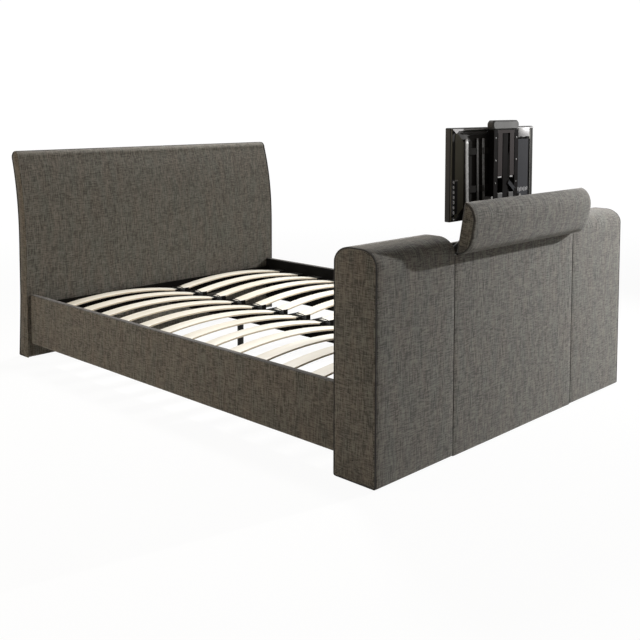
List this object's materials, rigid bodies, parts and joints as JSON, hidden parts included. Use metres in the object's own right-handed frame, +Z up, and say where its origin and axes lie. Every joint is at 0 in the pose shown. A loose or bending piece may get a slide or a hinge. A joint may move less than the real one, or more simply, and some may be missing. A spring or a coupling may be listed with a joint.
{
  "type": "tv bed",
  "caption": "Upholstered bed with a leaning headboard, bowed slats and a hollow footboard whose telescopic lift raises a flat television past a hinged padded lid.",
  "frame": {"origin": "on the floor under the middle of the footboard's base board, half way through the footboard's thickness", "axes": "+X across the bed towards its right side seen from the footboard, +Y from the footboard to the headboard, +Z up"},
  "size_m": [1.63, 2.4279, 1.1713],
  "materials": {
    "linen": "matt grey brown slub linen weave",
    "birch": "lacquered pale birch plywood",
    "black_board": "matt black lined board",
    "black_steel": "satin black powder coat",
    "zinc_steel": "dull zinc plated steel",
    "black_plastic": "fine grained black moulding",
    "grey_plastic": "satin grey moulding",
    "screen": "dark glossy display panel"
  },
  "bodies": {
    "bed_frame": {"footboard_left_tower": "linen", "footboard_right_tower": "linen", "footboard_outer_panel": "linen", "footboard_inner_panel": "linen", "footboard_base_board": "black_board", "hinge_fixed_leaf": "black_steel", "headboard": "linen", "side_rail_left": "linen", "side_rail_right": "linen", "cross_rail_foot": "black_board", "cross_rail_head": "black_board", "centre_leg_1": "black_plastic", "centre_leg_2": "black_plastic", "slat_bearer_left": "black_board", "slat_bearer_right": "black_board", "centre_rail": "black_board", "slat_left_01": "birch", "slat_left_02": "birch", "slat_left_03": "birch", "slat_left_04": "birch", "slat_left_05": "birch", "slat_left_06": "birch", "slat_left_07": "birch", "slat_left_08": "birch", "slat_left_09": "birch", "slat_left_10": "birch", "slat_left_11": "birch", "slat_left_12": "birch", "slat_left_13": "birch", "slat_right_01": "birch", "slat_right_02": "birch", "slat_right_03": "birch", "slat_right_04": "birch", "slat_right_05": "birch", "slat_right_06": "birch", "slat_right_07": "birch", "slat_right_08": "birch", "slat_right_09": "birch", "slat_right_10": "birch", "slat_right_11": "birch", "slat_right_12": "birch", "slat_right_13": "birch", "lift_column": "black_steel", "lift_motor": "black_plastic"},
    "tv_mast": {"mast_frame": "black_steel", "mast_rod": "black_steel", "mast_guide": "zinc_steel", "mast_cap": "grey_plastic", "tv_bracket": "black_steel", "tv_back_cover": "black_plastic", "tv_bezel": "black_plastic", "tv_screen": "screen", "tv_socket_panel": "grey_plastic"},
    "lift_stage": {"lift_middle_stage": "zinc_steel"},
    "lid": {"footboard_lid": "linen", "hinge_lid_leaf": "black_steel"},
    "left_stay_tube": {"stay_left_tube": "black_steel"},
    "left_stay_rod": {"stay_left_rod": "zinc_steel"},
    "right_stay_tube": {"stay_right_tube": "black_steel"},
    "right_stay_rod": {"stay_right_rod": "zinc_steel"}
  },
  "joints": [
    {"name": "tv_lift", "type": "slide", "parent": "bed_frame", "child": "tv_mast", "axis": [0, 0, -1], "range_m": [0, 0.764]},
    {"name": "lift_stage_slide", "type": "slide", "parent": "bed_frame", "child": "lift_stage", "axis": [0, 0, -1], "range_m": [0, 0.382]},
    {"name": "lid_hinge", "type": "hinge", "parent": "bed_frame", "child": "lid", "pos_m": [0, -0.093, 0.717], "axis": [-1, 0, 0], "range_deg": [0, 100]},
    {"name": "left_stay_swing", "type": "hinge", "parent": "bed_frame", "child": "left_stay_tube", "pos_m": [-0.372, 0.057, 0.62], "axis": [-1, 0, 0], "range_deg": [0, 7.86]},
    {"name": "left_stay_slide", "type": "slide", "parent": "left_stay_tube", "child": "left_stay_rod", "axis": [0, 0.7256, -0.6882], "range_m": [0, 0.09893]},
    {"name": "right_stay_swing", "type": "hinge", "parent": "bed_frame", "child": "right_stay_tube", "pos_m": [0.372, 0.057, 0.62], "axis": [-1, 0, 0], "range_deg": [0, 7.86]},
    {"name": "right_stay_slide", "type": "slide", "parent": "right_stay_tube", "child": "right_stay_rod", "axis": [0, 0.7256, -0.6882], "range_m": [0, 0.09893]}
  ],
  "couplings": [
    {"joint": "lift_stage_slide", "follows": "tv_lift", "ratio": 0.5},
    {"joint": "lid_hinge", "follows": "tv_lift", "rad_per_m": 2.2845},
    {"joint": "left_stay_swing", "follows": "tv_lift", "rad_per_m": 0.17947},
    {"joint": "left_stay_slide", "follows": "tv_lift", "ratio": 0.12948},
    {"joint": "right_stay_swing", "follows": "tv_lift", "rad_per_m": 0.17947},
    {"joint": "right_stay_slide", "follows": "tv_lift", "ratio": 0.12948}
  ]
}
